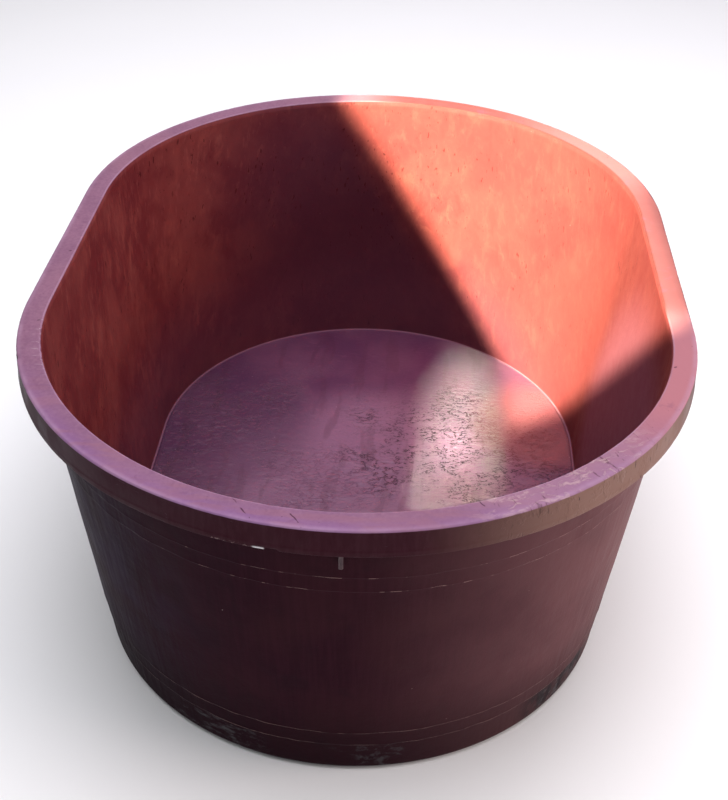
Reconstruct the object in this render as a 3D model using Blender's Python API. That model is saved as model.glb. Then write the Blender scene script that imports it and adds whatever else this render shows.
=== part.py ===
"""Oval mortar mixing tub, moulded in one shot from polyethylene.

Units are metres, +Z is up and +Y runs along the tub.  The origin is the centre of
the flat underside.  The moulding is divided at its own feature lines: the floor,
the bands of the wall between its witness lines, the flat rim, the skirt that turns
down from the rim, and the stacking ribs under the rim.
"""

import math

import bmesh
import bpy

# Overall shape.  An outline is (half width, half length, depth of its rounded end).
HEIGHT = 0.322
RIM_OUTLINE = (0.2935, 0.3775, 0.276)
FOOT_OUTLINE = (0.2465, 0.344, 0.230)

# Walls and floor.
WALL = 0.0045
FLOOR_THICKNESS = 0.006
FLOOR_FILLET = 0.003
FOOT_ROUNDING = 0.008
STEP = 0.0005

# Heights of the witness lines that run round the outside.
FOOT_TOP = 0.039
LOWER_BAND_TOP = 0.057
SIDE_WALL_TOP = 0.242
UPPER_BAND_TOP = 0.258

# Rim and its skirt.
RIM_WIDTH = 0.021
RIM_THICKNESS = 0.005
RIM_ROUNDING = 0.004
RIM_INNER_ROUNDING = 0.0015
SKIRT_DROP = 0.0245
SKIRT_THICKNESS = 0.0045
SKIRT_FLARE = 0.0015
LIP_HEIGHT = 0.0055
LIP_STEP = 0.0004

# Stacking ribs, which stop one tub from jamming in the next.
RIB_THICKNESS = 0.0035
RIB_REACH = 0.0105
RIB_BELOW_SKIRT = 0.024
RIB_CHAMFER = 0.005
END_RIB_SHIFT = 0.0065

# Gap between touching regions, and how finely the outline is divided.
GAP = 0.0003
END_SEGMENTS = 36
SIDE_SEGMENTS = 4
CORNER_SEGMENTS = 3


def clear_scene():
    for item in list(bpy.data.objects):
        bpy.data.objects.remove(item, do_unlink=True)


def grown(outline, distance):
    """The outline moved outwards by a distance."""
    return tuple(size + distance for size in outline)


def between(low, high, share):
    """The outline a share of the way from one outline to another."""
    return tuple(a + (b - a) * share for a, b in zip(low, high))


def outline_points(outline):
    """Points round a straight-sided oval, anticlockwise from the +X side, where the far end's arc begins."""
    half_width, half_length, end_depth = outline
    straight = half_length - end_depth
    points = []
    for end in (1, -1):
        for i in range(END_SEGMENTS):
            angle = math.pi * i / END_SEGMENTS
            x = end * half_width * math.cos(angle)
            y = end * (straight + end_depth * math.sin(angle))
            points.append((x, y))
        for i in range(SIDE_SEGMENTS):
            share = i / SIDE_SEGMENTS
            points.append((-end * half_width, end * straight * (1 - 2 * share)))
    return points


def wall_outline(z):
    """The outside of the plain drafted wall at a height, without its steps."""
    top = grown(RIM_OUTLINE, WALL - RIM_WIDTH)
    return between(FOOT_OUTLINE, top, z / HEIGHT)


def quarter(centre_x, centre_z, radius, start, end):
    """Points (offset, height) along a quarter circle between two angles in degrees."""
    points = []
    for i in range(CORNER_SEGMENTS + 1):
        angle = math.radians(start + (end - start) * i / CORNER_SEGMENTS)
        points.append((centre_x + radius * math.cos(angle), centre_z + radius * math.sin(angle)))
    return points


def material(name, colour, roughness):
    """A plain moulded plastic."""
    made = bpy.data.materials.new(name)
    made.use_nodes = True
    shader = made.node_tree.nodes["Principled BSDF"]
    shader.inputs["Base Color"].default_value = (*colour, 1.0)
    shader.inputs["Roughness"].default_value = roughness
    shader.inputs["Metallic"].default_value = 0.0
    return made


def finish(name, mesh_builder, colour, roughness):
    """Turn a bmesh into a named object with its own material."""
    bmesh.ops.recalc_face_normals(mesh_builder, faces=mesh_builder.faces[:])
    mesh = bpy.data.meshes.new(name)
    mesh_builder.to_mesh(mesh)
    mesh_builder.free()
    mesh.materials.append(material(name, colour, roughness))
    mesh.shade_smooth()
    mesh.set_sharp_from_angle(angle=math.radians(30))
    made = bpy.data.objects.new(name, mesh)
    bpy.context.scene.collection.objects.link(made)
    return made


def ring(name, section, outline_at, colour, roughness):
    """Sweep a closed section round the tub.

    The section is a list of (offset, height), where an offset is measured outwards
    from the outline that outline_at gives for that height.
    """
    builder = bmesh.new()
    loops = []
    for offset, z in section:
        points = outline_points(grown(outline_at(z), offset))
        loops.append([builder.verts.new((x, y, z)) for x, y in points])
    count = len(loops[0])
    for k, loop in enumerate(loops):
        following = loops[(k + 1) % len(loops)]
        for i in range(count):
            j = (i + 1) % count
            builder.faces.new((loop[i], loop[j], following[j], following[i]))
    return finish(name, builder, colour, roughness)


def make_floor(colour, roughness):
    """The flat floor plate inside the foot band."""
    edge = grown(FOOT_OUTLINE, -FOOT_ROUNDING - GAP)
    builder = bmesh.new()
    low = [builder.verts.new((x, y, 0.0)) for x, y in outline_points(edge)]
    high = [builder.verts.new((x, y, FLOOR_THICKNESS)) for x, y in outline_points(edge)]
    builder.faces.new(low[::-1])
    builder.faces.new(high)
    for i, corner in enumerate(low):
        j = (i + 1) % len(low)
        builder.faces.new((corner, low[j], high[j], high[i]))
    return finish("floor", builder, colour, roughness)


def make_foot_band(colour, roughness):
    """The lowest band of the wall, with the rounded edge that meets the ground."""
    radius = FOOT_ROUNDING
    section = quarter(-radius, radius, radius, 0, -90)
    section.append((-radius, FLOOR_THICKNESS))
    section.append((-WALL - FLOOR_FILLET, FLOOR_THICKNESS))
    section.append((-WALL, FLOOR_THICKNESS + FLOOR_FILLET))
    section.append((-WALL, FOOT_TOP - GAP))
    section.append((0.0, FOOT_TOP - GAP))
    return ring("foot_band", section, wall_outline, colour, roughness)


def make_wall_band(name, bottom, top, steps, colour, roughness):
    """One band of the drafted wall, standing a number of small steps proud."""
    proud = steps * STEP
    section = [(proud, bottom), (proud, top - GAP), (-WALL, top - GAP), (-WALL, bottom)]
    return ring(name, section, wall_outline, colour, roughness)


def make_rim(colour, roughness):
    """The flat flange round the mouth."""
    bottom = HEIGHT - RIM_THICKNESS
    outer = quarter(-RIM_ROUNDING, HEIGHT - RIM_ROUNDING, RIM_ROUNDING, 0, 90)
    inner = quarter(RIM_INNER_ROUNDING - RIM_WIDTH, HEIGHT - RIM_INNER_ROUNDING, RIM_INNER_ROUNDING, 90, 180)
    section = [(0.0, bottom)] + outer + inner + [(-RIM_WIDTH, bottom)]
    return ring("rim_flange", section, lambda z: RIM_OUTLINE, colour, roughness)


def make_skirt(colour, roughness):
    """The skirt that turns down from the outer edge of the rim, with its lip."""
    top = HEIGHT - RIM_THICKNESS - GAP
    bottom = HEIGHT - SKIRT_DROP
    lip = bottom + LIP_HEIGHT
    section = [
        (0.0, top),
        (SKIRT_FLARE - LIP_STEP, lip),
        (SKIRT_FLARE, lip - LIP_STEP),
        (SKIRT_FLARE, bottom + LIP_STEP),
        (SKIRT_FLARE - LIP_STEP, bottom),
        (SKIRT_FLARE - SKIRT_THICKNESS, bottom),
        (-SKIRT_THICKNESS, top),
    ]
    return ring("rim_skirt", section, lambda z: RIM_OUTLINE, colour, roughness)


def make_rib(name, axis, side, shift, colour, roughness):
    """A thin upright rib on the collar, under the rim, at one end or side of the tub.

    The shift moves it along the rim from the middle of that end or side.
    """
    top = HEIGHT - RIM_THICKNESS - GAP
    bottom = HEIGHT - SKIRT_DROP - RIB_BELOW_SKIRT
    size = 1 if axis == "y" else 0

    def collar_face(z):
        return wall_outline(z)[size] + 4 * STEP + 2 * GAP

    tip = collar_face(bottom) + RIB_REACH
    profile = [
        (collar_face(top), top),
        (collar_face(bottom), bottom),
        (tip - RIB_CHAMFER, bottom),
        (tip, bottom + RIB_CHAMFER),
        (tip, top),
    ]
    builder = bmesh.new()
    faces = []
    for across in (shift - RIB_THICKNESS / 2, shift + RIB_THICKNESS / 2):
        if axis == "y":
            corners = [(across, side * reach, z) for reach, z in profile]
        else:
            corners = [(side * reach, across, z) for reach, z in profile]
        faces.append([builder.verts.new(corner) for corner in corners])
    builder.faces.new(faces[0])
    builder.faces.new(faces[1][::-1])
    for i in range(len(profile)):
        j = (i + 1) % len(profile)
        builder.faces.new((faces[0][i], faces[0][j], faces[1][j], faces[1][i]))
    return finish(name, builder, colour, roughness)


def main():
    clear_scene()
    make_floor((0.130, 0.045, 0.060), 0.50)
    make_foot_band((0.055, 0.018, 0.022), 0.55)
    make_wall_band("lower_step_band", FOOT_TOP, LOWER_BAND_TOP, 1, (0.070, 0.020, 0.022), 0.50)
    make_wall_band("side_wall", LOWER_BAND_TOP, SIDE_WALL_TOP, 2, (0.170, 0.035, 0.030), 0.50)
    make_wall_band("upper_step_band", SIDE_WALL_TOP, UPPER_BAND_TOP, 3, (0.120, 0.028, 0.026), 0.50)
    collar_top = HEIGHT - RIM_THICKNESS
    make_wall_band("collar", UPPER_BAND_TOP, collar_top, 4, (0.150, 0.032, 0.028), 0.50)
    make_rim((0.210, 0.075, 0.085), 0.45)
    make_skirt((0.130, 0.035, 0.042), 0.45)
    rib_colour = (0.100, 0.025, 0.024)
    make_rib("stacking_rib_front", "y", -1, END_RIB_SHIFT, rib_colour, 0.50)
    make_rib("stacking_rib_back", "y", 1, END_RIB_SHIFT, rib_colour, 0.50)
    make_rib("stacking_rib_left", "x", -1, 0.0, rib_colour, 0.50)
    make_rib("stacking_rib_right", "x", 1, 0.0, rib_colour, 0.50)


main()
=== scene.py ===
"""The looks of the mortar mixing tub: one worn moulding of dark red-brown polyethylene.

The CAD model's rings are replaced by finer skins of the same sizes: a wall, a rim, a floor and four ribs.
Colours are linear. Lengths are in metres; MM turns millimetres into metres.
"""

import math

import bmesh
import bpy
import numpy as np
from mathutils import Matrix, Vector, noise


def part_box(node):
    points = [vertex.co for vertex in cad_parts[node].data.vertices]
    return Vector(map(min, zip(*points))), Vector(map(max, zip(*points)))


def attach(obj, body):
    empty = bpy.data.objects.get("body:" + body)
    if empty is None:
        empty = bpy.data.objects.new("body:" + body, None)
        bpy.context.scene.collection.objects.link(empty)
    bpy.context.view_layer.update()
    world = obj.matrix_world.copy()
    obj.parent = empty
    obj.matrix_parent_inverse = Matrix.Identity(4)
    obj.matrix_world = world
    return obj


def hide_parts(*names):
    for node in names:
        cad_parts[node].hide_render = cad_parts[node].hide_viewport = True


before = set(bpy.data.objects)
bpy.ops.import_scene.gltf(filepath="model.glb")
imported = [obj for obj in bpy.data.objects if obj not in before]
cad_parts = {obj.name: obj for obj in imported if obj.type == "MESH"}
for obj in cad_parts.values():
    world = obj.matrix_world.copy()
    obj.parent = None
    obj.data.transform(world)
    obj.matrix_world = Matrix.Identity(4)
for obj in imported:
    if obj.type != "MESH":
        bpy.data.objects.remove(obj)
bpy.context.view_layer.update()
scene = bpy.context.scene
MM = 0.001

# ---------------------------------------------------------------- sizes, read from the frame


def node_loop(node, z):
    """(half width, half length, end depth) of a CAD ring's outer outline at its vertices nearest a height."""
    points = np.array([v.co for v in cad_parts[node].data.vertices])
    height = points[np.argmin(abs(points[:, 2] - z)), 2]
    points = points[abs(points[:, 2] - height) < 0.05 * MM]
    half_width, half_length = points[:, 0].max(), points[:, 1].max()
    straight = points[points[:, 0] > half_width - 0.01 * MM, 1].max()
    return np.array([half_width, half_length, half_length - straight])


low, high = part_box("rim_flange")
HEIGHT = high.z
RIM_UNDER = low.z
SKIRT_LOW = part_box("rim_skirt")[0].z
FLOOR_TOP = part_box("floor")[1].z
FOOT_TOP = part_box("foot_band")[1].z
BAND_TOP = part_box("lower_step_band")[1].z
WALL_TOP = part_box("side_wall")[1].z
STEP_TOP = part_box("upper_step_band")[1].z
RIM = node_loop("rim_flange", RIM_UNDER)
STEP = 0.5 * MM
WALL = 4.5 * MM
FILLET = 1.5 * MM
FOOT_ROUNDING = 8.0 * MM
COLLAR_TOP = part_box("collar")[1].z
collar_top = node_loop("collar", RIM_UNDER) - 4 * STEP
foot_high = node_loop("foot_band", FOOT_TOP)
slope = (collar_top - foot_high) / (COLLAR_TOP - FOOT_TOP)
RIM_WIDTH = RIM[0] - (collar_top[0] + slope[0] * (HEIGHT - COLLAR_TOP) - WALL)
SKIRT_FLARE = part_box("rim_skirt")[1].x - RIM[0]
SKIRT_THICK = 4.5 * MM


def wall_outline(z):
    """The outside of the plain drafted wall at a height, without its steps."""
    return foot_high + slope * (z - FOOT_TOP)


# ---------------------------------------------------------------- mesh tools


class Around:
    """Points spread evenly round the oval; the same count at every height, so rings join up."""

    def __init__(self, count):
        side = 2 * (RIM[1] - RIM[2])
        end = math.pi * math.sqrt((RIM[0] ** 2 + RIM[2] ** 2) / 2)
        sides = max(2, round(count * side / (2 * (side + end))))
        ends = count // 2 - sides
        across, straight, bulge = [], [], []
        for sign in (1, -1):
            for i in range(ends):
                angle = math.pi * i / ends
                across.append(sign * math.cos(angle))
                straight.append(sign)
                bulge.append(sign * math.sin(angle))
            for i in range(sides):
                across.append(-sign)
                straight.append(sign * (1 - 2 * i / sides))
                bulge.append(0)
        self.count = len(across)
        self.across, self.straight, self.bulge = map(np.array, (across, straight, bulge))

    def points(self, outlines, heights):
        """Rings of points, one for each outline and height: an array of rings x around x 3."""
        outlines = np.asarray(outlines)
        x = outlines[:, :1] * self.across
        y = (outlines[:, 1:2] - outlines[:, 2:3]) * self.straight + outlines[:, 2:3] * self.bulge
        z = np.repeat(np.asarray(heights)[:, None], self.count, 1)
        return np.stack([x, y, z], -1)


def arc(centre, radius, start, end, steps):
    """Points (offset, height) along an arc between two angles in degrees."""
    angles = np.radians(np.linspace(start, end, steps + 1))
    return [(centre[0] + radius * math.cos(a), centre[1] + radius * math.sin(a)) for a in angles]


def densify(section, spacing):
    """A closed section with points added so that none are further apart than the spacing."""
    section = np.array(section, float)
    out = []
    for k, start in enumerate(section):
        end = section[(k + 1) % len(section)]
        pieces = max(1, math.ceil(np.linalg.norm((end - start)[:2]) / spacing))
        for i in range(pieces):
            out.append(start + (end - start) * i / pieces)
    return np.array(out)


def grid_normals(points):
    """Unit normals of a grid of points that closes both ways, facing out of the solid."""
    along = np.roll(points, -1, 1) - np.roll(points, 1, 1)
    up = np.roll(points, -1, 0) - np.roll(points, 1, 0)
    normals = np.cross(along, up)
    return normals / np.maximum(np.linalg.norm(normals, axis=-1, keepdims=True), 1e-12)


def fractal(points, size, octaves=3, seed=0.0, stretch=(1, 1, 1)):
    """Smooth noise between about -1 and 1 at each point, with features of a size, longer where stretched."""
    flat = (points / (size * np.array(stretch))).reshape(-1, 3) + seed
    values = [noise.fractal(Vector(p), 1.0, 2.0, octaves) for p in flat]
    return np.array(values).reshape(points.shape[:-1])


def ramp(values, start, end):
    """0 at the start, 1 at the end and smooth between."""
    share = np.clip((values - start) / (end - start), 0, 1)
    return share * share * (3 - 2 * share)


def column(section, index, spread):
    """One value of each section point, repeated round the oval."""
    return np.repeat(section[:, index][:, None], spread.count, 1)


def new_piece(name, vertices, faces, attributes, paint, slot, *nodes):
    """A smooth mesh object with float or vector attributes and a material, riding on the tub."""
    mesh = bpy.data.meshes.new(name)
    mesh.from_pydata(vertices.reshape(-1, 3).tolist(), [], faces)
    mesh.polygons.foreach_set("use_smooth", np.ones(len(mesh.polygons), bool))
    for key, values in attributes.items():
        values = np.asarray(values, np.float32)
        vector = values.size == 3 * len(mesh.vertices)
        layer = mesh.attributes.new(key, "FLOAT_VECTOR" if vector else "FLOAT", "POINT")
        layer.data.foreach_set("vector" if vector else "value", values.ravel())
    mesh.update()
    mesh.materials.append(paint)
    piece = bpy.data.objects.new(name, mesh)
    scene.collection.objects.link(piece)
    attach(piece, "root")
    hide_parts(*nodes)
    return piece


def torus_faces(rings, around):
    """Quads of a grid that closes both ways."""
    ring = around * np.arange(rings)[:, None]
    step = np.arange(around)[None, :]
    next_ring, next_step = (ring + around) % (rings * around), (step + 1) % around
    quads = np.stack([ring + step, ring + next_step, next_ring + next_step, next_ring + step], -1)
    return quads.reshape(-1, 4).tolist()


# ---------------------------------------------------------------- material tools


class Paint:
    """One material's node tree. Masks run from 0 to 1, and sizes are in metres."""

    def __init__(self, name, specular):
        self.material = bpy.data.materials.new(name)
        self.material.use_nodes = True
        self.tree = self.material.node_tree
        self.shader = self.tree.nodes["Principled BSDF"]
        self.shader.inputs["Specular IOR Level"].default_value = specular
        self.place = self.node("ShaderNodeTexCoord").outputs["Object"]

    def node(self, kind, settings=None, inputs=None):
        """A new node with its settings, and its inputs either set or linked."""
        node = self.tree.nodes.new(kind)
        for key, value in (settings or {}).items():
            setattr(node, key, value)
        for key, value in (inputs or {}).items():
            if isinstance(value, bpy.types.NodeSocket):
                self.tree.links.new(value, node.inputs[key])
            elif value is not None:
                node.inputs[key].default_value = value
        return node

    def attribute(self, name, output="Fac"):
        return self.node("ShaderNodeAttribute", {"attribute_name": name}).outputs[output]

    def lifted(self, number):
        """One number as all three parts of a vector."""
        return self.node("ShaderNodeCombineXYZ", None, {0: number, 1: number, 2: number}).outputs[0]

    def axis(self, vector, name):
        return self.node("ShaderNodeSeparateXYZ", None, {"Vector": vector}).outputs[name]

    def maths(self, operation, a, b=0.0):
        return self.node("ShaderNodeMath", {"operation": operation}, {0: a, 1: b}).outputs[0]

    def times(self, *values):
        result = values[0]
        for value in values[1:]:
            result = self.maths("MULTIPLY", result, value)
        return result

    def plus(self, a, b):
        return self.maths("ADD", a, b)

    def most(self, a, b):
        return self.maths("MAXIMUM", a, b)

    def vectors(self, operation, a, b=(0, 0, 0)):
        node = self.node("ShaderNodeVectorMath", {"operation": operation}, {0: a, 1: b})
        return node.outputs["Value" if operation in ("DOT_PRODUCT", "LENGTH", "DISTANCE") else "Vector"]

    def soft(self, value, start, end):
        """A mask that is 0 at the start, 1 at the end and smooth between; the start may be the larger."""
        inputs = {"Value": value, "From Min": start, "From Max": end, "To Min": 0.0, "To Max": 1.0}
        return self.node("ShaderNodeMapRange", {"interpolation_type": "SMOOTHSTEP"}, inputs).outputs[0]

    def stretched(self, vector, stretch, turn=0.0):
        """Coordinates whose features come out longer along the axes, which are turned about Z first."""
        inputs = {"Vector": vector, "Rotation": (0, 0, math.radians(turn)), "Scale": stretch}
        return self.node("ShaderNodeMapping", {"vector_type": "TEXTURE"}, inputs).outputs[0]

    def noise(self, vector, size, detail=3.0, rough=0.5, distortion=0.0):
        inputs = {"Vector": vector, "Scale": 1 / size, "Detail": detail, "Roughness": rough,
                  "Distortion": distortion}
        return self.node("ShaderNodeTexNoise", None, inputs).outputs[0]

    def spots(self, vector, size, radius, share):
        """Round spots, at most one in each cell of a size, in a share of the cells."""
        cells = self.node("ShaderNodeTexVoronoi", None, {"Vector": vector, "Scale": 1 / size})
        spot = self.soft(cells.outputs["Distance"], radius / size, 0.6 * radius / size)
        lot = self.axis(cells.outputs["Color"], "X")
        return self.times(spot, self.soft(lot, share + 0.01, share - 0.01))

    def bent(self, vector, size, reach):
        """Coordinates pushed about by noise of a size, by up to about a reach."""
        push = self.node("ShaderNodeTexNoise", None, {"Vector": vector, "Scale": 1 / size}).outputs[1]
        push = self.vectors("SUBTRACT", push, (0.5, 0.5, 0.5))
        return self.vectors("ADD", vector, self.vectors("MULTIPLY", push, (2 * reach, 2 * reach, 2 * reach)))

    def ball(self, centre, reach, core=0.0):
        """A mask that is 1 within the core's distance of a point and 0 beyond the reach."""
        return self.soft(self.vectors("DISTANCE", self.place, tuple(centre)), reach, core)

    def inverse(self, mask):
        return self.maths("SUBTRACT", 1.0, mask)

    def stroke(self, start, end, width, wobble):
        """A thin line between two points, bent by noise."""
        start, end = Vector(start), Vector(end)
        place = self.bent(self.place, 9 * MM, wobble)
        run = end - start
        from_start = self.vectors("SUBTRACT", place, tuple(start))
        share = self.times(self.vectors("DOT_PRODUCT", from_start, tuple(run)), 1 / run.length_squared)
        share = self.maths("MINIMUM", self.most(share, 0.0), 1.0)
        off = self.vectors("SUBTRACT", from_start, self.vectors("MULTIPLY", self.lifted(share), tuple(run)))
        return self.soft(self.vectors("LENGTH", off), width, 0.4 * width)

    def mix(self, mask, a, b):
        """The first colour where the mask is 0 and the second where it is 1."""
        node = self.node("ShaderNodeMix", {"data_type": "RGBA", "clamp_factor": True})
        for socket, value in ((0, mask), (6, a), (7, b)):
            if isinstance(value, bpy.types.NodeSocket):
                self.tree.links.new(value, node.inputs[socket])
            else:
                node.inputs[socket].default_value = (*value, 1) if socket else value
        return node.outputs[2]

    def shift(self, value, mask, other):
        """One number where the mask is 0 and another where it is 1."""
        return self.plus(value, self.times(mask, self.maths("SUBTRACT", other, value)))

    def bump(self, height, depth, under=None):
        """A normal from a height of 0 to 1, for a relief of a depth, laid over another one."""
        inputs = {"Height": height, "Strength": 1.0, "Distance": depth, "Normal": under}
        return self.node("ShaderNodeBump", None, inputs).outputs[0]

    def finish(self, colour, rough, normal):
        """The material, with its colour, roughness and normal linked."""
        for key, value in (("Base Color", colour), ("Roughness", rough), ("Normal", normal)):
            self.tree.links.new(value, self.shader.inputs[key])
        return self.material


# ---------------------------------------------------------------- shapes


def make_wall(paint):
    """The drafted wall with its witness lines, the rounded foot and the fillet to the floor."""
    spread = Around(560)
    toe = -WALL - FILLET
    top = RIM_UNDER + 3.4 * MM
    # A section point is (offset from the plain outside, height, inside or not, strength of a witness line).
    section = [(-FOOT_ROUNDING, 0.0, 0, 0)]
    for offset, z in arc((-FOOT_ROUNDING, FOOT_ROUNDING), FOOT_ROUNDING, -90, 0, 10)[1:]:
        section.append((offset, z, 0, 0))
    for steps, z in enumerate((FOOT_TOP, BAND_TOP, WALL_TOP, STEP_TOP)):
        proud = steps * STEP
        section.append((proud, z - 1.6 * MM, 0, 0))
        section.append((proud + 0.05 * MM, z - 0.6 * MM, 0, 0.3))
        section.append((proud + 0.75 * STEP, z - 0.1 * MM, 0, 1))
        section.append((proud + 1.05 * STEP, z + 0.5 * MM, 0, 0.3))
        section.append((proud + STEP, z + 1.6 * MM, 0, 0))
    section.append((4 * STEP, top, 0, 0))
    section.append((-WALL - 0.02 * MM, top, 1, 0))
    section.append((-WALL, FLOOR_TOP + FILLET + 1.5 * MM, 1, 0))
    for offset, z in arc((toe, FLOOR_TOP + FILLET), FILLET, 0, -90, 7):
        section.append((offset, z + 0.06 * MM, 1, 0))
    section.append((toe - 0.3 * MM, FLOOR_TOP + 0.02 * MM, 1, 0))
    section.append((toe - 0.3 * MM, 0.0, 0, 0))
    section = densify(section, 5.2 * MM)
    points = spread.points([wall_outline(z) + offset for offset, z, _, _ in section], section[:, 1])
    way = spread.points([RIM] * len(section), section[:, 1])
    normals = grid_normals(points)
    z = points[..., 2]
    free = np.clip((z - 2 * MM) / (12 * MM), 0, 1) * np.clip((RIM_UNDER - z) / (15 * MM), 0, 1)
    waves = 0.55 * MM * fractal(points, 140 * MM, 2) + 0.12 * MM * fractal(points, 22 * MM, 2, 9.0)
    broken = np.clip(2.2 * fractal(points, 17 * MM, 2, 4.0) + 0.4, -0.6, 1)
    line = column(section, 3, spread)
    points = points + normals * (free * waves + 0.35 * MM * line * broken)[..., None]
    attributes = {"inside": column(section, 2, spread), "line": line, "way": way}
    nodes = ("foot_band", "lower_step_band", "side_wall", "upper_step_band", "collar")
    faces = torus_faces(len(section), spread.count)
    return new_piece("tub_wall", points, faces, attributes, paint, "wall_plastic", *nodes)


NOTCH = (-47.5 * MM, -38 * MM)    # where the skirt's lower edge is broken away, along X at the near end
NOTCH_DEEP = 2.6 * MM
NIBBLED = (-205 * MM, -135 * MM)  # where the inner edge is nibbled, along Y on the left side


def rim_damage(points, edge):
    """How far the rim's surface is cut back: worn edges, a nibbled stretch and gouges near the right."""
    x, y, z = points[..., 0], points[..., 1], points[..., 2]
    worn = 0.40 * MM * edge * np.clip(fractal(points, 7 * MM, 3, 2.0) - 0.2, 0, 1)
    inner_edge = ramp(abs(z - HEIGHT + 1.2 * MM), 2.5 * MM, 0.5 * MM) * edge
    stretch = ramp(y, NIBBLED[0], NIBBLED[0] + 15 * MM) * ramp(y, NIBBLED[1], NIBBLED[1] - 15 * MM)
    inner = ramp(x, -RIM[0] + 0.55 * RIM_WIDTH, -RIM[0] + 0.8 * RIM_WIDTH) * (x < 0)
    teeth = np.clip(0.5 + 2.5 * fractal(points, 4 * MM, 2, 6.0), 0, 1)
    nibbled = 1.1 * MM * inner_edge * stretch * inner * teeth
    turned = Matrix.Rotation(math.radians(-60), 3, "Z")
    diagonal = points @ np.array(turned)
    gouges = np.clip(fractal(diagonal, 4.5 * MM, 2, 8.0, (4, 1, 4)) - 0.25, 0, 0.5)
    zone = ramp(np.hypot(x - 0.165, y + 0.29), 0.10, 0.03) * (z > HEIGHT - 1 * MM)
    return worn + nibbled + 1.3 * MM * gouges * zone


def make_rim(paint):
    """The flange and its turned-down skirt, with the knocks that the edges have taken."""
    spread = Around(1200)
    outer, inner = 2.2 * MM, 1.5 * MM
    lip = SKIRT_LOW + 5.5 * MM
    # A section point is (offset from the rim's outline, height, wear of an edge, weathered top or not).
    section = [(-RIM_WIDTH + 0.1 * MM, RIM_UNDER, 0, 0), (-RIM_WIDTH, HEIGHT - inner, 0.2, 0.6)]
    for offset, z in arc((inner - RIM_WIDTH, HEIGHT - inner), inner, 180, 90, 6)[1:]:
        section.append((offset, z, 1, 1))
    section.append((inner - RIM_WIDTH + 1.5 * MM, HEIGHT, 0.2, 1))
    for step, (offset, z) in enumerate(arc((-outer, HEIGHT - outer), outer, 90, 0, 10)):
        section.append((offset, z, 1, 1 - max(0, step - 6) / 4))
    section.append((0.1 * MM, HEIGHT - outer - 2 * MM, 0.1, 0))
    section.append((SKIRT_FLARE - 0.25 * MM, lip + 0.5 * MM, 0, 0))
    section.append((SKIRT_FLARE - 0.05 * MM, lip - 0.2 * MM, 0.5, 0))
    section.append((SKIRT_FLARE, lip - 0.8 * MM, 0.1, 0))
    section.append((SKIRT_FLARE, SKIRT_LOW + 1.0 * MM, 0.4, 0))
    for offset, z in arc((SKIRT_FLARE - 1.0 * MM, SKIRT_LOW + 1.0 * MM), 1.0 * MM, 0, -90, 4)[1:]:
        section.append((offset, z, 1, 0))
    section.append((SKIRT_FLARE - SKIRT_THICK + 0.8 * MM, SKIRT_LOW, 0.6, 0))
    section.append((SKIRT_FLARE - SKIRT_THICK, SKIRT_LOW + 0.8 * MM, 0.2, 0))
    section.append((-SKIRT_THICK, RIM_UNDER - 1.5 * MM, 0, 0))
    section.append((-SKIRT_THICK - 1.5 * MM, RIM_UNDER, 0, 0))
    section = densify(section[::-1], 1.75 * MM)
    points = spread.points([RIM + offset for offset, _, _, _ in section], section[:, 1])
    normals = grid_normals(points)
    edge = column(section, 2, spread)
    waves = 0.30 * MM * (fractal(points, 110 * MM, 2) - 1.0) + 0.03 * MM * fractal(points, 6 * MM, 2, 5.0)
    points = points + normals * (waves - rim_damage(points, edge))[..., None]
    x, y, z = points[..., 0], points[..., 1], points[..., 2]
    broken = (x > NOTCH[0]) & (x < NOTCH[1]) & (y < -RIM[1] + RIM[2])
    ragged = 1 + 0.25 * fractal(points, 5 * MM, 2, 1.0)
    lifted = np.maximum(z, SKIRT_LOW + NOTCH_DEEP * ragged)
    points[..., 2] = np.where(broken, lifted, z)
    attributes = {"edge": edge, "weathered": column(section, 3, spread),
                  "out": column(section, 0, spread) / RIM_WIDTH + 1}
    faces = torus_faces(len(section), spread.count)
    return new_piece("tub_rim", points, faces, attributes, paint, "rim_plastic", "rim_flange", "rim_skirt")


STRIP = (61 * MM, 4 * MM)        # the smooth strip along the floor: its place across the tub, half its width
STRIP_ENDS = (-120 * MM, 112 * MM)


def crinkles(points):
    """The floor's relief, of short folds across the tub; how crinkled each place is; and the smooth strip."""
    x, y = points[..., 0], points[..., 1]
    bend = 5 * MM * fractal(points, 30 * MM, 2, 3.0)
    bent = points + np.stack([0.4 * bend, bend, 0 * bend], -1)
    folds = fractal(bent, 8.5 * MM, 3, 11.0, (2.2, 1, 1))
    creases = np.exp(-(folds / 0.16) ** 2)
    rough = 0.30 + 0.7 * ramp(fractal(points, 85 * MM, 2, 5.0), -0.25, 0.2)
    rough = np.maximum(rough, ramp(np.hypot(x - 0.11, y - 0.10), 0.15, 0.05))
    rough = rough * (0.15 + 0.85 * ramp(y, 0.28, 0.17))
    across = abs(x - STRIP[0] - 3 * MM * fractal(points, 60 * MM, 1, 2.0))
    strip = ramp(across, 1.5 * STRIP[1], STRIP[1])
    near, far = STRIP_ENDS
    strip = strip * ramp(y, near - 8 * MM, near) * ramp(y, far + 8 * MM, far)
    rough = rough * (1 - 0.5 * strip)
    relief = rough * (0.30 * folds - 0.16 * creases) * MM
    return relief, rough, strip


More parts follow.
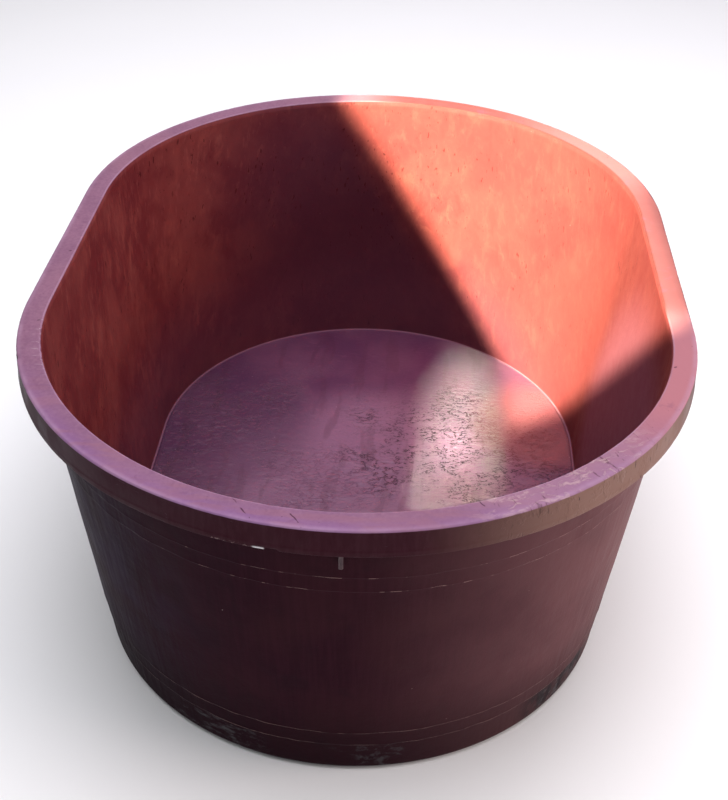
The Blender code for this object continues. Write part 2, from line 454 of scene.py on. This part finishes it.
def make_floor(paint):
    """The floor plate, in rows across the oval: a crinkled top, a thin edge and a flat underside."""
    half_width, half_length, depth = wall_outline(FLOOR_TOP) - WALL - FILLET - 0.1 * MM
    straight = half_length - depth
    end_rows, middle_rows, columns = 150, 106, 216
    turn = (np.arange(end_rows) + 0.5) / end_rows * math.pi / 2
    y = np.concatenate([-straight - depth * np.cos(turn),
                        np.linspace(-straight, straight, middle_rows),
                        straight + depth * np.cos(turn[::-1])])
    width = half_width * np.concatenate([np.sin(turn), np.ones(middle_rows), np.sin(turn[::-1])])
    rows = len(y)
    x = width[:, None] * np.linspace(-1, 1, columns)
    tops = np.stack([x, np.repeat(y[:, None], columns, 1), np.full((rows, columns), FLOOR_TOP)], -1)
    from_edge = np.minimum(width[:, None] - abs(x), (half_length - abs(y))[:, None])
    free = ramp(from_edge, 0.0, 12 * MM)
    relief, rough, strip = crinkles(tops)
    sag = 0.45 * MM * (fractal(tops, 120 * MM, 2) - 0.6)
    tops[..., 2] += free * (relief + sag)
    unders = np.stack([tops[:, [0, -1], 0], tops[:, [0, -1], 1], np.zeros((rows, 2))], -1)
    corner = columns * np.arange(rows - 1)[:, None] + np.arange(columns - 1)[None, :]
    faces = np.stack([corner, corner + 1, corner + columns + 1, corner + columns], -1).reshape(-1, 4).tolist()
    base = rows * columns
    for row in range(rows - 1):
        left, right = row * columns, row * columns + columns - 1
        under = base + 2 * row
        faces.append([left, left + columns, under + 2, under])
        faces.append([right, under + 1, under + 3, right + columns])
        faces.append([under, under + 2, under + 3, under + 1])
    last = (rows - 1) * columns
    faces.append([base, base + 1] + list(range(columns - 1, -1, -1)))
    faces.append([base + 2 * rows - 1, base + 2 * rows - 2] + list(range(last, last + columns)))
    vertices = np.concatenate([tops.reshape(-1, 3), unders.reshape(-1, 3)])
    blank = np.zeros(2 * rows)
    attributes = {"crinkled": np.append(rough, blank), "strip": np.append(strip, blank),
                  "top": np.append(np.ones(base), blank)}
    return new_piece("tub_floor", vertices, faces, attributes, paint, "floor_plastic", "floor")


def make_rib(end, paint):
    """A stacking rib: the CAD fin with its edges rounded and its faces no longer quite true."""
    node = "stacking_rib_" + end
    fin = bmesh.new()
    fin.from_mesh(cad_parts[node].data)
    bmesh.ops.remove_doubles(fin, verts=fin.verts, dist=0.01 * MM)
    bmesh.ops.dissolve_limit(fin, angle_limit=math.radians(1), verts=fin.verts, edges=fin.edges)
    bmesh.ops.bevel(fin, geom=fin.edges[:], offset=0.9 * MM, segments=4, profile=0.5, affect="EDGES",
                    clamp_overlap=True)
    bmesh.ops.triangulate(fin, faces=fin.faces)
    bmesh.ops.subdivide_edges(fin, edges=fin.edges[:], cuts=2, use_grid_fill=True)
    vertices = np.array([v.co for v in fin.verts])
    fin.normal_update()
    normals = np.array([v.normal for v in fin.verts])
    vertices += normals * 0.12 * MM * (fractal(vertices, 4 * MM, 2, 3.0) - 0.8)[:, None]
    faces = [[v.index for v in face.verts] for face in fin.faces]
    fin.free()
    return new_piece("rib_" + end, vertices, faces, {}, paint, "rib_plastic", node)


# ---------------------------------------------------------------- materials


def wall_paint():
    """Dark streaked plastic outside, scraped red-brown inside, a painted highlight on the flash of the
    witness lines, and painted light and shade in places.
    """
    p = Paint("wall_plastic", specular=0.02)
    way = p.attribute("way", "Vector")
    inside = p.attribute("inside")
    line = p.attribute("line")
    x, y, height = (p.axis(p.place, name) for name in "XYZ")
    broad = p.noise(p.place, 110 * MM, 2)
    mottle = p.noise(p.place, 14 * MM, 4, 0.6)
    drawn = p.noise(p.stretched(way, (1, 1, 16)), 4 * MM, 4, 0.6)
    grain = p.noise(p.place, 1.1 * MM, 2)

    # Outside: streaks, dots, dust and painted light at the right, painted shade at the left, scuffs at the
    # foot, a painted highlight on the flash of the lines.
    outer = p.mix(p.soft(drawn, 0.35, 0.68), (0.0235, 0.0042, 0.0098), (0.0315, 0.0072, 0.0140))
    outer = p.mix(p.times(p.soft(broad, 0.4, 0.7), 0.35), outer, (0.048, 0.014, 0.017))
    dull = p.soft(p.noise(p.place, 34 * MM, 3), 0.52, 0.72)
    outer = p.mix(p.times(dull, 0.35), outer, (0.016, 0.0050, 0.0095))
    rubbed = p.soft(p.noise(p.stretched(p.place, (3, 3, 1), 20), 1.6 * MM, 3), 0.70, 0.78)
    outer = p.mix(p.times(rubbed, p.soft(mottle, 0.55, 0.7), 0.5), outer, (0.09, 0.05, 0.055))
    dots = p.times(p.spots(p.place, 15 * MM, 0.55 * MM, 0.35), p.soft(p.noise(p.place, 60 * MM, 1), 0.5, 0.6))
    cluster = p.times(p.spots(p.place, 6 * MM, 0.6 * MM, 0.6), p.ball((0.138, -0.306, 0.2), 22 * MM, 10 * MM))
    outer = p.mix(p.most(dots, cluster), outer, (0.36, 0.26, 0.25))
    # Dust at the right, partly real dust and partly painted light falling on the right side, weaker towards
    # the far end.
    dust_and_painted_light = p.plus(0.70, p.times(p.soft(p.noise(p.place, 70 * MM, 4, 0.5), 0.22, 0.62), 0.30))
    dust_and_painted_light = p.times(p.soft(x, 0.0, 0.27), dust_and_painted_light)
    near_end = p.soft(y, 0.05, -0.20)
    dust_and_painted_light = p.times(dust_and_painted_light, p.plus(0.45, p.times(near_end, 0.45)))
    outer = p.mix(dust_and_painted_light, outer, (0.185, 0.083, 0.088))
    # Painted shade: the outside darker and bluer towards the left, most at the near end.
    painted_shade_left = p.times(p.soft(x, -0.05, -0.25), p.plus(0.2, p.times(near_end, 0.5)))
    outer = p.mix(painted_shade_left, outer, (0.0085, 0.0030, 0.0100))
    # A bluish cloud on the outer wall at the near left.
    bluish_cloud = p.soft(p.noise(p.place, 40 * MM, 4, 0.55), 0.35, 0.62)
    bluish_cloud = p.times(p.ball((-0.20, -0.22, 0.17), 0.17, 0.05), bluish_cloud)
    outer = p.mix(p.times(bluish_cloud, 0.5), outer, (0.028, 0.017, 0.038))
    outer = p.mix(p.times(p.soft(height, 0.12, 0.03), 0.45), outer, (0.008, 0.0030, 0.0050))
    foot = p.soft(height, FOOT_TOP + 3 * MM, FOOT_TOP - 6 * MM)
    places = p.most(p.ball((-0.105, -0.312, 0.02), 60 * MM, 25 * MM),
                    p.ball((0.2, -0.245, 0.02), 50 * MM, 22 * MM))
    places = p.most(places, p.times(0.7, p.soft(p.noise(p.place, 90 * MM, 1), 0.60, 0.68)))
    slanted = p.stretched(p.bent(p.place, 20 * MM, 6 * MM), (2.4, 1, 1), -35)
    patches = p.soft(p.noise(slanted, 7 * MM, 4, 0.65), 0.48, 0.68)
    ragged = p.soft(p.noise(p.stretched(p.place, (1, 1, 2.5), 40), 11 * MM, 4, 0.65), 0.40, 0.52)
    sooty = p.times(p.ball((0.200, -0.250, 0.025), 66 * MM, 30 * MM), p.plus(0.45, p.times(ragged, 0.55)))
    outer = p.mix(p.times(foot, sooty, 0.85), outer, (0.012, 0.011, 0.013))
    outer = p.mix(p.times(foot, places, patches, 0.7), outer, (0.085, 0.080, 0.086))
    # Painted highlight: pale dashes along the flash of the witness lines, faded at the near left as painted
    # shade.
    broken = p.soft(p.noise(p.stretched(way, (1, 1, 0.3)), 16 * MM, 3, 0.7), 0.54, 0.60)
    low_line = p.soft(height, BAND_TOP + 0.03, BAND_TOP + 0.01)
    broken = p.most(broken, p.times(low_line, p.soft(p.noise(way, 30 * MM, 2), 0.36, 0.46), 0.8))
    highlight_faded_left = p.ball((-0.25, -0.22, 0.17), 0.20, 0.13)
    broken = p.times(broken, p.inverse(p.times(highlight_faded_left, 0.9)))
    outer = p.mix(p.times(p.soft(line, 0.55, 0.9), broken, 0.85), outer, (0.40, 0.25, 0.225))

    # Inside: scraped, and soiled on the shaded side of a slanted line along the edge of the key light's
    # sunlit patch, plainer on its lit side, with painted shade on the far wall, dashes, pits, crumbs and a
    # painted highlight at the floor's edge.
    leaning = p.vectors("SUBTRACT", way, p.vectors("MULTIPLY", p.lifted(height), (0.0, 0.30, 0.0)))
    worked = p.soft(p.noise(p.place, 85 * MM, 2), 0.46, 0.60)
    brushed = p.noise(p.stretched(leaning, (1, 1, 5)), 3.2 * MM, 5, 0.65, 0.4)
    smears = p.noise(p.bent(p.stretched(leaning, (1, 1, 1.8)), 24 * MM, 10 * MM), 16 * MM, 5, 0.6)
    # The slant runs along the edge of the sunlit patch: soiled and marked on its shaded side, plainer on its
    # lit side, as painted light and shade; purpler towards the bottom on the shaded side.
    slant = p.plus(x, p.times(height, 0.66))
    soiled_and_shaded_side = p.soft(slant, 0.26, 0.10)
    cloud = p.noise(p.bent(p.place, 60 * MM, 22 * MM), 70 * MM, 4, 0.5)
    inner = p.mix(p.soft(cloud, 0.34, 0.64), (0.122, 0.021, 0.025), (0.172, 0.039, 0.038))
    inner = p.mix(p.times(p.inverse(soiled_and_shaded_side), 0.7), inner, (0.150, 0.031, 0.032))
    worked = p.times(worked, p.plus(0.35, p.times(soiled_and_shaded_side, 0.65)))
    inner = p.mix(p.times(p.soft(smears, 0.50, 0.68), p.plus(0.18, p.times(worked, 0.35))), inner,
                  (0.245, 0.064, 0.054))
    inner = p.mix(p.times(p.soft(smears, 0.50, 0.34), p.plus(0.15, p.times(worked, 0.30))), inner,
                  (0.105, 0.015, 0.018))
    inner = p.mix(p.times(p.soft(brushed, 0.50, 0.75), worked, 0.22), inner, (0.30, 0.085, 0.070))
    # Painted shade: the far wall darker and purpler, kept off the lit side of the slanted edge.
    painted_shade_far_wall = p.times(p.ball((-0.02, 0.36, 0.19), 0.27, 0.07), p.soft(slant, 0.180, 0.110), 0.85)
    inner = p.mix(painted_shade_far_wall, inner, (0.066, 0.020, 0.037))
    near_rim = p.soft(height, HEIGHT - 0.17, HEIGHT - 0.02)
    scuffs = p.bent(p.stretched(leaning, (1, 1, 3.5)), 15 * MM, 5 * MM)
    pale = p.soft(p.noise(scuffs, 8 * MM, 4, 0.65), 0.56, 0.70)
    high_up = p.times(near_rim, p.plus(0.25, p.times(soiled_and_shaded_side, 0.75)), 0.25)
    pale = p.times(pale, p.plus(0.04, high_up), p.inverse(painted_shade_far_wall))
    inner = p.mix(pale, inner, (0.28, 0.090, 0.080))
    dashes = p.soft(p.noise(p.stretched(leaning, (1, 1, 2.6)), 4.2 * MM, 3, 0.55), 0.63, 0.70)
    dashes = p.times(dashes, p.soft(p.noise(p.place, 55 * MM, 2), 0.44, 0.58))
    inner = p.mix(p.times(dashes, 0.75), inner, (0.055, 0.009, 0.011))
    pits = p.spots(p.place, 9 * MM, 0.8 * MM, 0.25)
    inner = p.mix(p.times(pits, 0.6), inner, (0.05, 0.009, 0.011))
    crumbs = p.times(p.spots(p.place, 13 * MM, 0.5 * MM, 0.4), p.soft(broad, 0.45, 0.6))
    inner = p.mix(p.times(crumbs, 0.7), inner, (0.42, 0.24, 0.22))
    low_down = p.soft(height, 0.17, 0.03)
    inner = p.mix(p.times(low_down, p.plus(0.1, p.times(soiled_and_shaded_side, 0.45))), inner, (0.100, 0.038, 0.070))
    # Painted highlight: a pale line along the fillet at the floor's edge.
    painted_highlight_floor_edge = p.soft(height, FLOOR_TOP + 1.5 * MM, FLOOR_TOP + 0.7 * MM)
    inner = p.mix(p.times(painted_highlight_floor_edge, 0.35), inner, (0.34, 0.19, 0.29))
    inner = p.mix(p.times(p.ball((0.25, -0.06, 0.12), 0.20, 0.12), 0.8), inner, (0.190, 0.060, 0.090))

    colour = p.mix(inside, outer, inner)
    rough = p.shift(p.plus(0.42, p.times(p.soft(drawn, 0.3, 0.7), 0.14)), inside,
                    p.plus(0.50, p.times(p.soft(mottle, 0.35, 0.7), 0.12)))
    relief = p.plus(p.times(drawn, 0.18), p.times(grain, 0.3))
    scraped = p.times(p.plus(p.times(brushed, 0.3), p.times(smears, 0.7)), p.plus(0.3, p.times(worked, 0.7)))
    scraped = p.maths("SUBTRACT", scraped, p.times(p.most(dashes, pits), 0.5))
    normal = p.bump(p.shift(relief, inside, scraped), 0.25 * MM)
    normal = p.bump(mottle, 0.5 * MM, normal)
    return p.finish(colour, rough, normal)


# Cracks in the near rim, as (x, y) to (x, y) in millimetres.
RIM_CRACKS = (((-78, -341), (-71, -352)), ((-72, -350), (-58, -368)), ((97, -329), (107, -343)),
              ((-30, -362), (-24, -370)))


def rim_paint():
    """A chalky lilac-grey top, the lilac partly a painted reflection of the sky, weathered and scratched,
    with painted light and shade where the sunlit patch falls, over a skirt of the dark plastic with painted
    shade at the left and painted light at the right.
    """
    p = Paint("rim_plastic", specular=0.07)
    weathered = p.attribute("weathered")
    out = p.attribute("out")
    edge = p.attribute("edge")
    x, y = p.axis(p.place, "X"), p.axis(p.place, "Y")
    mottle = p.noise(p.place, 26 * MM, 3, 0.55)
    fine = p.noise(p.place, 3.0 * MM, 3, 0.6)
    broad = p.noise(p.place, 120 * MM, 2)

    # The top: mottled, streaked near the front, with a painted violet sheen at the near end, a redder and
    # plainer lit copy at the far right where the sunlit patch falls, and painted lit pink at the near right.
    # The lilac-grey is partly a painted reflection of the sky.
    top = p.mix(p.soft(mottle, 0.3, 0.7), (0.232, 0.108, 0.174), (0.268, 0.128, 0.196))
    top = p.mix(p.times(p.soft(fine, 0.50, 0.66), 0.30), top, (0.31, 0.17, 0.22))
    top = p.mix(p.times(p.soft(fine, 0.50, 0.36), 0.30), top, (0.19, 0.085, 0.135))
    # Painted sheen: violet at the near end, strongest towards the outer edge.
    painted_violet_sheen = p.times(p.plus(0.35, p.soft(out, 0.15, 1.0)), p.soft(y, -0.16, -0.32), 0.45)
    top = p.mix(painted_violet_sheen, top, (0.235, 0.110, 0.29))
    top = p.mix(p.times(p.soft(broad, 0.45, 0.65), 0.25), top, (0.30, 0.14, 0.17))
    streaks = p.noise(p.stretched(p.bent(p.place, 50 * MM, 5 * MM), (5, 1, 1)), 9 * MM, 3, 0.55)
    streaks = p.times(p.soft(streaks, 0.46, 0.62), p.soft(y, -0.16, -0.28))
    top = p.mix(p.times(streaks, 0.35), top, (0.300, 0.130, 0.165))
    # Painted light: a redder, plainer lit copy of the top where the sunlit patch falls.
    sunlit_zone = p.times(p.soft(x, -0.06, 0.04), p.soft(y, -0.14, -0.05))
    top = p.mix(p.times(sunlit_zone, 0.9), top, (0.215, 0.068, 0.078))
    # Painted shadow on the flank at the far right, and a darker red at the far end, within the lit copy.
    painted_shadow_flank = p.times(sunlit_zone, p.soft(x, 0.235, 0.275), p.soft(y, 0.20, 0.12))
    far = p.times(sunlit_zone, p.soft(y, 0.18, 0.30), p.soft(x, 0.24, 0.12))
    top = p.mix(p.times(far, 0.9), top, (0.135, 0.033, 0.037))
    top = p.mix(p.times(painted_shadow_flank, 0.75), top, (0.120, 0.040, 0.048))
    # Painted shade: the inner edge darker within the sunlit patch.
    top = p.mix(p.times(sunlit_zone, p.soft(out, 0.14, 0.03)), top, (0.110, 0.030, 0.030))
    # Painted light: a lit pink on the top at the near right.
    painted_lit_pink = p.times(p.soft(x, 0.15, 0.25), p.soft(y, -0.32, -0.20), p.soft(y, -0.06, -0.13))
    top = p.mix(p.times(painted_lit_pink, 0.95), top, (0.430, 0.165, 0.190))
    stain = p.soft(p.noise(p.bent(p.place, 12 * MM, 5 * MM), 15 * MM, 4, 0.6), 0.58, 0.72)
    top = p.mix(p.times(stain, 0.30), top, (0.16, 0.06, 0.12))
    flecks = p.soft(p.noise(p.place, 2.0 * MM, 2), 0.72, 0.77)
    top = p.mix(p.times(flecks, p.soft(mottle, 0.45, 0.6), 0.7), top, (0.08, 0.024, 0.05))
    nicks = p.times(p.spots(p.stretched(p.place, (2.2, 1, 1), 35), 14 * MM, 1.0 * MM, 0.3), 0.7)
    top = p.mix(nicks, top, (0.065, 0.018, 0.04))
    scuffed = p.ball((0.165, -0.30, HEIGHT), 105 * MM, 40 * MM)
    top = p.mix(p.times(scuffed, 0.5), top, (0.36, 0.19, 0.26))
    slanted = p.stretched(p.bent(p.place, 25 * MM, 4 * MM), (5, 1, 5), 122)
    scores = p.soft(p.noise(slanted, 4.2 * MM, 3, 0.6), 0.62, 0.68)
    crossing = p.stretched(p.bent(p.place, 20 * MM, 8 * MM), (2.5, 1, 2.5), 25)
    pale_scores = p.soft(p.noise(crossing, 5 * MM, 4, 0.65), 0.50, 0.64)
    top = p.mix(p.times(scuffed, scores, 0.75), top, (0.13, 0.050, 0.08))
    top = p.mix(p.times(scuffed, pale_scores, 0.65), top, (0.52, 0.34, 0.36))
    # Pale ticks along the nibbled inner edge at the left: nicks, partly a painted highlight.
    ticked = p.times(p.ball((-0.255, -0.175, HEIGHT), 62 * MM, 30 * MM), p.soft(out, 0.55, 0.1))
    ticks_and_highlights = p.soft(p.noise(p.stretched(p.place, (6, 1, 1)), 2.4 * MM, 3, 0.6), 0.58, 0.68)
    top = p.mix(p.times(ticked, ticks_and_highlights, 0.7), top, (0.55, 0.42, 0.46))
    for start, end in RIM_CRACKS:
        crack = p.stroke((start[0] * MM, start[1] * MM, HEIGHT), (end[0] * MM, end[1] * MM, HEIGHT),
                         0.7 * MM, 1.5 * MM)
        top = p.mix(p.times(crack, 0.85), top, (0.06, 0.018, 0.035))

    # The skirt: the dark plastic, with painted shade at the left, dusty and painted lighter at the near
    # right, torn and chipped at one place on its lower edge.
    grain = p.noise(p.stretched(p.place, (1, 1, 5)), 3.5 * MM, 4, 0.6)
    skirt = p.mix(p.soft(grain, 0.35, 0.7), (0.034, 0.0040, 0.0100), (0.044, 0.0080, 0.0155))
    # Dust at the near right, partly real dust and partly painted light falling on that side.
    dusty_and_lit_right = p.times(p.soft(x, 0.05, 0.2), p.soft(y, -0.12, -0.26))
    # Painted shade: the skirt darker towards the left.
    skirt = p.mix(p.times(p.soft(x, -0.05, -0.25), 0.6), skirt, (0.028, 0.0015, 0.0100))
    skirt = p.mix(p.times(dusty_and_lit_right, 0.9), skirt, (0.255, 0.145, 0.115))
    tears = p.soft(p.noise(p.stretched(p.place, (1, 1, 6)), 3.2 * MM, 2), 0.68, 0.74)
    skirt = p.mix(p.times(tears, dusty_and_lit_right, 0.8), skirt, (0.03, 0.012, 0.013))
    streak = p.soft(p.noise(p.stretched(p.place, (7, 7, 1)), 1.8 * MM, 3), 0.70, 0.78)
    skirt = p.mix(p.times(streak, 0.5), skirt, (0.11, 0.06, 0.075))
    skirt = p.mix(p.times(p.spots(p.place, 14 * MM, 0.6 * MM, 0.25), 0.8), skirt, (0.36, 0.27, 0.28))
    ragged = p.soft(p.noise(p.place, 4 * MM, 3, 0.7), 0.55, 0.62)
    low_edge = p.soft(p.axis(p.place, "Z"), SKIRT_LOW + 3.2 * MM, SKIRT_LOW + 1.2 * MM)
    torn = p.times(ragged, low_edge, p.ball((-0.070, -0.373, SKIRT_LOW), 26 * MM, 16 * MM))
    chip = p.stroke((-55.5 * MM, -0.3748, SKIRT_LOW + 0.8 * MM), (-49 * MM, -0.3758, SKIRT_LOW + 1.0 * MM),
                    2.3 * MM, 0.5 * MM)
    skirt = p.mix(p.times(torn, 0.7), skirt, (0.26, 0.17, 0.17))
    skirt = p.mix(chip, skirt, (0.85, 0.80, 0.82))

    colour = p.mix(p.soft(weathered, 0.25, 0.85), skirt, top)
    worn = p.times(p.soft(edge, 0.8, 1.0), p.plus(0.6, p.times(p.soft(mottle, 0.4, 0.6), 0.6)),
                   p.soft(weathered, 0.4, 0.9), p.inverse(sunlit_zone))
    colour = p.mix(p.times(worn, 0.28), colour, (0.46, 0.30, 0.42))
    rough = p.plus(0.42, p.times(p.soft(mottle, 0.35, 0.65), 0.14))
    scars = p.times(scuffed, p.maths("SUBTRACT", pale_scores, scores))
    normal = p.bump(p.plus(p.times(fine, 0.5), p.times(mottle, 0.5)), 0.18 * MM)
    normal = p.bump(p.maths("SUBTRACT", scars, p.most(flecks, nicks)), 0.35 * MM, normal)
    return p.finish(colour, rough, normal)


def floor_paint():
    """Mauve, partly a painted reflection of the sky, polished by the trowel between creases with painted
    shade in them, with a paler strip along it, painted highlights on the fold crests and a painted lit patch
    at the right.
    """
    p = Paint("floor_plastic", specular=0.5)
    top = p.attribute("top")
    crinkled = p.attribute("crinkled")
    strip = p.attribute("strip")
    broad = p.noise(p.place, 95 * MM, 3)
    bent = p.bent(p.place, 7 * MM, 2.4 * MM)
    folds = p.noise(p.stretched(bent, (2.2, 1, 1)), 4.0 * MM, 4, 0.6, 0.5)
    ridges = p.noise(p.stretched(bent, (2.2, 1, 1)), 6.0 * MM, 3, 0.6)
    crease_lines = p.soft(p.maths("ABSOLUTE", p.maths("SUBTRACT", ridges, 0.5)), 0.036, 0.012)
    gaps = p.soft(p.noise(p.stretched(p.place, (1.5, 1, 1)), 12 * MM, 2), 0.38, 0.50)
    crease_lines = p.times(crease_lines, gaps, crinkled)
    fine = p.noise(p.stretched(p.place, (4, 1, 1)), 1.6 * MM, 3, 0.6)

    # The mauve is partly a painted reflection of the sky.
    colour = p.mix(p.soft(broad, 0.38, 0.62), (0.098, 0.028, 0.078), (0.136, 0.046, 0.098))
    colour = p.mix(p.times(p.ball((0.02, 0.02, FLOOR_TOP), 0.22, 0.13), 0.7), colour, (0.230, 0.105, 0.185))
    colour = p.mix(p.times(p.ball((0.0, 0.11, FLOOR_TOP), 0.11, 0.03), 0.5), colour, (0.290, 0.135, 0.235))
    colour = p.mix(p.times(p.ball((-0.20, 0.13, FLOOR_TOP), 0.16, 0.10), 0.5), colour, (0.070, 0.022, 0.062))
    # Painted highlight: the crests of the folds paler.
    pale = p.times(p.soft(folds, 0.56, 0.70), p.plus(0.25, p.times(crinkled, 0.5)))
    colour = p.mix(p.times(pale, 0.5), colour, (0.24, 0.110, 0.175))
    lanes = p.soft(p.noise(p.stretched(p.bent(p.place, 40 * MM, 6 * MM), (1, 6, 1)), 15 * MM, 2), 0.54, 0.66)
    colour = p.mix(p.times(lanes, 0.30), colour, (0.080, 0.019, 0.045))
    ragged_strip = p.soft(p.plus(strip, p.times(p.noise(p.place, 6 * MM, 3), 0.6)), 0.65, 1.2)
    colour = p.mix(p.times(ragged_strip, 0.20), colour, (0.25, 0.125, 0.185))
    # This mask is the glare zone, where the glare lights fall on the floor.
    glare_zone = p.ball((0.11, 0.12, FLOOR_TOP), 0.17, 0.08)
    # Painted shade: the crease lines darker, most in the glare zone.
    colour = p.mix(p.times(crease_lines, p.plus(0.16, p.times(glare_zone, 0.75))), colour, (0.020, 0.008, 0.016))
    # Painted light: a redder lit patch on the floor at the right, where the sunlit patch falls.
    sunlit_floor_patch = p.ball((0.210, 0.155, FLOOR_TOP), 105 * MM, 55 * MM)
    colour = p.mix(p.times(sunlit_floor_patch, 0.85), colour, (0.225, 0.064, 0.080))
    crumbs = p.spots(p.place, 14 * MM, 0.6 * MM, 0.3)
    colour = p.mix(p.times(crumbs, 0.7), colour, (0.50, 0.36, 0.42))
    grime = p.soft(p.noise(p.place, 20 * MM, 4, 0.6), 0.4, 0.65)
    under = p.mix(grime, (0.030, 0.010, 0.015), (0.07, 0.045, 0.045))
    colour = p.mix(top, under, colour)
    rough = p.plus(0.34, p.times(p.soft(fine, 0.35, 0.7), 0.10))
    rough = p.plus(rough, p.times(crease_lines, 0.45))
    amount = p.plus(0.15, p.times(crinkled, p.plus(0.35, p.times(glare_zone, 1.5))))
    normal = p.bump(p.times(p.maths("SUBTRACT", folds, p.times(crease_lines, 0.35)), amount), 1.5 * MM)
    normal = p.bump(p.times(fine, amount), 0.30 * MM, normal)
    return p.finish(colour, rough, normal)


def rib_paint():
    """The wall's plastic, paler than the wall: rubbed where tubs have been stacked, and partly a painted
    highlight.
    """
    p = Paint("rib_plastic", specular=0.3)
    mottle = p.noise(p.place, 6 * MM, 4, 0.6)
    drawn = p.noise(p.stretched(p.place, (1, 1, 8)), 2 * MM, 3)
    # Paler than the wall: rubbing, and partly a painted highlight.
    colour = p.mix(p.soft(mottle, 0.35, 0.65), (0.038, 0.015, 0.020), (0.068, 0.033, 0.038))
    colour = p.mix(p.times(p.soft(drawn, 0.55, 0.7), 0.6), colour, (0.15, 0.095, 0.10))
    rough = p.plus(0.42, p.times(mottle, 0.15))
    return p.finish(colour, rough, p.bump(p.plus(drawn, mottle), 0.4 * MM))


wall = make_wall(wall_paint())
rim = make_rim(rim_paint())
floor = make_floor(floor_paint())
ribs = rib_paint()
for end in ("front", "back", "left", "right"):
    make_rib(end, ribs)

# ---------------------------------------------------------------- stage, camera and lights

# The camera: its tilt down, its turn about the tub and its roll, and its offsets from the rim's centre.
TILT = math.radians(37.563)
TURN = math.radians(2.937)
ROLL = math.radians(1.089)
BACK = 1.105517645
RISE = 0.13863766
ASIDE = 0.001969385
LENS = 52.486


def make_camera():
    """The camera looks down at the tub from beyond its near end."""
    forward = Vector((0, math.cos(TILT), -math.sin(TILT)))
    up = Vector((0, math.sin(TILT), math.cos(TILT)))
    right = Vector((1, 0, 0))
    place = right * ASIDE - up * RISE - forward * BACK
    axes = Matrix((right, up, -forward)).transposed()
    turn = Matrix.Rotation(TURN, 3, "Z")
    axes = turn @ axes @ Matrix.Rotation(ROLL, 3, "Z")
    data = bpy.data.cameras.new("camera")
    data.lens = LENS
    data.sensor_width = 36
    camera = bpy.data.objects.new("camera", data)
    camera.matrix_world = Matrix.Translation(turn @ place + Vector((0, 0, HEIGHT))) @ axes.to_4x4()
    scene.collection.objects.link(camera)
    scene.camera = camera


def softbox(name, place, target, size, power, colour, spread=180, across=(1, 0, 0), onto=()):
    """A rectangular area light with its width along a direction. A small spread, in degrees, is a grid in
    front of it, and where pieces are listed it lights only those."""
    data = bpy.data.lights.new(name, "AREA")
    data.shape = "RECTANGLE"
    data.size, data.size_y = size
    data.energy = power
    data.color = colour
    data.spread = math.radians(spread)
    lamp = bpy.data.objects.new(name, data)
    back = (Vector(place) - Vector(target)).normalized()
    across = Vector(across)
    across = (across - back * across.dot(back)).normalized()
    axes = Matrix((across, back.cross(across), back)).transposed()
    lamp.matrix_world = Matrix.Translation(place) @ axes.to_4x4()
    scene.collection.objects.link(lamp)
    if onto:
        lit = bpy.data.collections.new("lit_by_" + name)
        for piece in onto:
            lit.objects.link(piece)
        lamp.light_linking.receiver_collection = lit
    return lamp


def make_stage():
    """A pale floor under a dim room."""
    p = Paint("studio_floor", specular=0.2)
    cloud = p.noise(p.place, 0.4, 2)
    colour = p.mix(cloud, (0.86, 0.86, 0.86), (0.89, 0.89, 0.89))
    p.finish(colour, p.plus(0.8, p.times(cloud, 0.1)), p.bump(cloud, 0.1 * MM))
    mesh = bpy.data.meshes.new("studio_floor")
    reach = 6
    corners = [(-reach, -reach, 0), (reach, -reach, 0), (reach, reach, 0), (-reach, reach, 0)]
    mesh.from_pydata(corners, [], [(0, 1, 2, 3)])
    mesh.materials.append(p.material)
    ground = bpy.data.objects.new("studio_floor", mesh)
    ground.location.z = -0.5 * MM
    scene.collection.objects.link(ground)
    world = bpy.data.worlds.new("studio")
    world.use_nodes = True
    world.node_tree.nodes["Background"].inputs["Color"].default_value = (0.95, 0.96, 1.0, 1)
    world.node_tree.nodes["Background"].inputs["Strength"].default_value = 0.33
    scene.world = world
    return ground


SUN_ACROSS = (0.833, 0.023, 0.553)   # square to the slanted edge of the sunlit part of the wall
GLARE_ACROSS = (0.9966, -0.082, 0)   # across the glare on the tub's floor
SUN_GRID = 1.3
GLARE_GRID = 3.4


def make_lights(ground):
    """Soft boxes above, behind and at the right, a narrow one for the sunlit wall, and two for the glare.

    The two glare lights share one place: the first shows only in the gloss of the tub's floor. The wall and
    the rim don't block them, since they stand for light that comes off the sunlit wall.
    """
    softbox("overhead", (0.0, 0.1, 2.2), (0, 0, 0.1), (2.0, 2.0), 44, (0.95, 0.93, 1.0))
    softbox("floor_wash", (0.0, 0.0, 2.6), (0, 0, 0), (3.0, 3.0), 26, (1.0, 1.0, 0.98), onto=[ground])
    softbox("key", (-0.517, -1.291, 1.348), (0.131, 0.164, 0.313), (0.272, 0.45), 5.0, (1.0, 0.93, 0.58),
            SUN_GRID, SUN_ACROSS, [wall, rim, floor])
    softbox("back", (0.45, 1.9, 1.7), (0.0, 0.0, 0.2), (1.8, 1.2), 8, (0.95, 0.86, 1.0))
    softbox("side", (1.7, -0.45, 0.75), (0.25, -0.2, 0.2), (0.6, 0.9), 15, (1.0, 0.82, 0.78))
    for name, power, colour in (("glint", 0.38, (1.0, 0.87, 0.81)), ("glow", 0.085, (1.0, 1.0, 0.7))):
        lamp = softbox(name, (0.199, 0.967, 1.714), (0.112, 0.139, 0.006), (0.042, 0.25), power, colour,
                       GLARE_GRID, GLARE_ACROSS, [floor])
        lamp.data.shape = "ELLIPSE"
        lamp.visible_diffuse = name == "glow"
        lamp.light_linking.blocker_collection = lamp.light_linking.receiver_collection


make_camera()
make_lights(make_stage())
scene.view_settings.view_transform = "Standard"
